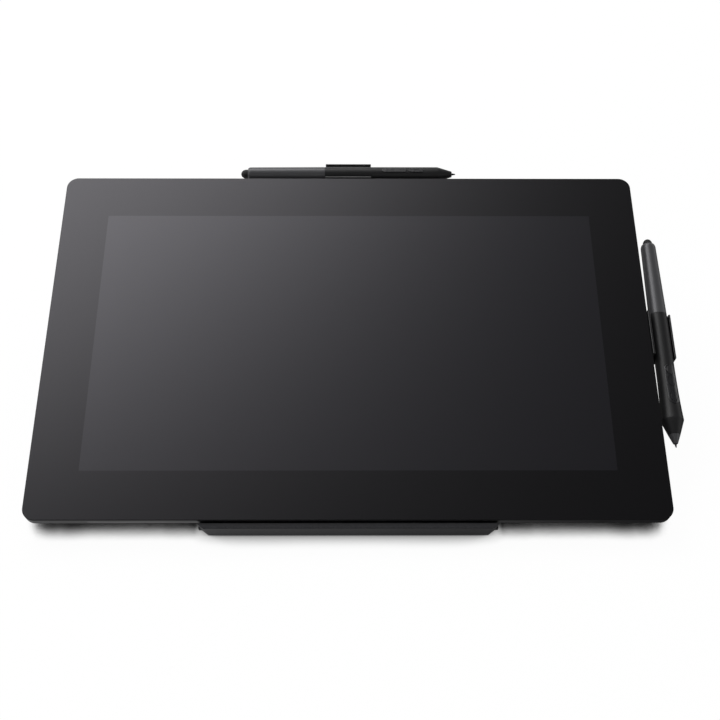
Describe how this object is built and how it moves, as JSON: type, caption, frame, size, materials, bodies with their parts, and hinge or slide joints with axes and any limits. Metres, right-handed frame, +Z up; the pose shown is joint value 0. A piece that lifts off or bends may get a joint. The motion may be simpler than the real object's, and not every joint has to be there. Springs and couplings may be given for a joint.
{
  "type": "pen display",
  "caption": "Pen display: a drawing tablet with its own screen on a folding tilt stand, with a thin pen and a wide pen in plug-in holders.",
  "frame": {"origin": "centre of the underside of the stand's front rubber strip, on the table", "axes": "+X to the right as the user sits, +Y away from the user, +Z up"},
  "size_m": [0.4277, 0.2706, 0.106],
  "materials": {
    "front_glass": "etched anti-glare glass, black backed",
    "display_shell": "satin black",
    "trim": "satin dark grey",
    "black_rubber": "matt",
    "stand_metal": "black anodised",
    "steel": "plain",
    "lcd_panel": "laminated",
    "circuit_board": "solder mask",
    "chip_black": "moulded",
    "chassis_metal": "die cast",
    "ribbon_film": "film",
    "holder_plastic": "fine moulded texture",
    "pen_grey": "satin",
    "pen_black": "soft touch",
    "pen_gloss": "gloss",
    "nib_plastic": "matt"
  },
  "bodies": {
    "base": {"stand_base": "stand_metal", "base_foot_strips": "black_rubber", "hinge_pins": "steel"},
    "tray": {"stand_tray": "stand_metal", "lip_cushion": "black_rubber", "tray_pads": "black_rubber", "prop_pivot_pins": "steel"},
    "prop": {"prop_left_arm": "stand_metal", "prop_right_arm": "stand_metal", "prop_foot_bar": "steel", "prop_rollers": "black_rubber"},
    "display": {"cover_glass": "front_glass", "screen_panel": "lcd_panel", "digitizer_board": "circuit_board", "shield_plate": "steel", "chassis_frame": "chassis_metal", "rear_cover": "display_shell", "bottom_trim_strip": "trim", "rear_foot_strips": "black_rubber", "case_screws": "steel", "main_board": "circuit_board", "board_chips": "chip_black", "heat_spreader": "chassis_metal", "panel_ribbon": "ribbon_film", "usb_sockets": "steel", "power_switch": "chip_black"},
    "power_key": {"power_button": "holder_plastic"},
    "top_rack": {"top_holder": "holder_plastic", "top_holder_liner": "black_rubber"},
    "side_rack": {"side_holder": "holder_plastic", "side_holder_liner": "black_rubber"},
    "thin_pen": {"thin_pen_barrel": "pen_grey", "thin_pen_grip": "pen_black", "thin_pen_board": "circuit_board"},
    "thin_nib": {"thin_pen_nib": "nib_plastic"},
    "thin_eraser": {"thin_pen_eraser": "black_rubber"},
    "thin_rear_key": {"thin_pen_rear_button": "pen_gloss"},
    "thin_front_key": {"thin_pen_front_button": "pen_gloss"},
    "wide_pen": {"wide_pen_barrel": "pen_grey", "wide_pen_grip": "pen_black", "wide_pen_collar": "pen_grey", "wide_pen_bezel": "pen_gloss", "wide_pen_board": "circuit_board"},
    "wide_nib": {"wide_pen_nib": "nib_plastic"},
    "wide_eraser": {"wide_pen_eraser": "black_rubber"},
    "wide_rear_key": {"wide_pen_rear_button": "pen_gloss"},
    "wide_middle_key": {"wide_pen_middle_button": "pen_gloss"},
    "wide_front_key": {"wide_pen_front_button": "pen_gloss"}
  },
  "joints": [
    {"name": "tray_tilt", "type": "hinge", "parent": "base", "child": "tray", "pos_m": [0, -0.007, 0.00572], "axis": [1, 0, 0], "range_deg": [-19, 41]},
    {"name": "prop_fold", "type": "hinge", "parent": "tray", "child": "prop", "pos_m": [0, 0.07621, 0.03437], "axis": [-1, 0, 0], "range_deg": [-38, 82]},
    {"name": "display_lift", "type": "slide", "parent": "tray", "child": "display", "axis": [0, -0.3256, 0.9455], "range_m": [0, 0.03]},
    {"name": "power_press", "type": "slide", "parent": "display", "child": "power_key", "axis": [0, -0.9455, -0.3256], "range_m": [0, 0.0004], "stiffness_N_per_m": 2500},
    {"name": "top_holder_pull", "type": "slide", "parent": "display", "child": "top_rack", "axis": [0, 0.9455, 0.3256], "range_m": [0, 0.008]},
    {"name": "side_holder_pull", "type": "slide", "parent": "display", "child": "side_rack", "axis": [1, 0, 0], "range_m": [0, 0.008]},
    {"name": "thin_pen_lift", "type": "slide", "parent": "top_rack", "child": "thin_pen", "axis": [0, -0.3256, 0.9455], "range_m": [0, 0.03]},
    {"name": "thin_nib_press", "type": "slide", "parent": "thin_pen", "child": "thin_nib", "axis": [-1, 0, 0], "range_m": [0, 0.0005], "stiffness_N_per_m": 800},
    {"name": "thin_eraser_press", "type": "slide", "parent": "thin_pen", "child": "thin_eraser", "axis": [1, 0, 0], "range_m": [0, 0.0006], "stiffness_N_per_m": 800},
    {"name": "thin_rear_press", "type": "slide", "parent": "thin_pen", "child": "thin_rear_key", "axis": [0, 0.3256, -0.9455], "range_m": [0, 0.0003], "stiffness_N_per_m": 2000},
    {"name": "thin_front_press", "type": "slide", "parent": "thin_pen", "child": "thin_front_key", "axis": [0, 0.3256, -0.9455], "range_m": [0, 0.0003], "stiffness_N_per_m": 2000},
    {"name": "wide_pen_lift", "type": "slide", "parent": "side_rack", "child": "wide_pen", "axis": [0, -0.3256, 0.9455], "range_m": [0, 0.03]},
    {"name": "wide_nib_press", "type": "slide", "parent": "wide_pen", "child": "wide_nib", "axis": [0, 0.9455, 0.3256], "range_m": [0, 0.0005], "stiffness_N_per_m": 800},
    {"name": "wide_eraser_press", "type": "slide", "parent": "wide_pen", "child": "wide_eraser", "axis": [0, -0.9455, -0.3256], "range_m": [0, 0.0006], "stiffness_N_per_m": 800},
    {"name": "wide_rear_press", "type": "slide", "parent": "wide_pen", "child": "wide_rear_key", "axis": [-0.1908, 0.3196, -0.9281], "range_m": [0, 0.0003], "stiffness_N_per_m": 2000},
    {"name": "wide_middle_press", "type": "slide", "parent": "wide_pen", "child": "wide_middle_key", "axis": [-0.1908, 0.3196, -0.9281], "range_m": [0, 0.0003], "stiffness_N_per_m": 2000},
    {"name": "wide_front_press", "type": "slide", "parent": "wide_pen", "child": "wide_front_key", "axis": [-0.1908, 0.3196, -0.9281], "range_m": [0, 0.0003], "stiffness_N_per_m": 2000}
  ],
  "couplings": [
    {"joint": "prop_fold", "follows": "tray_tilt", "ratio": 2}
  ]
}
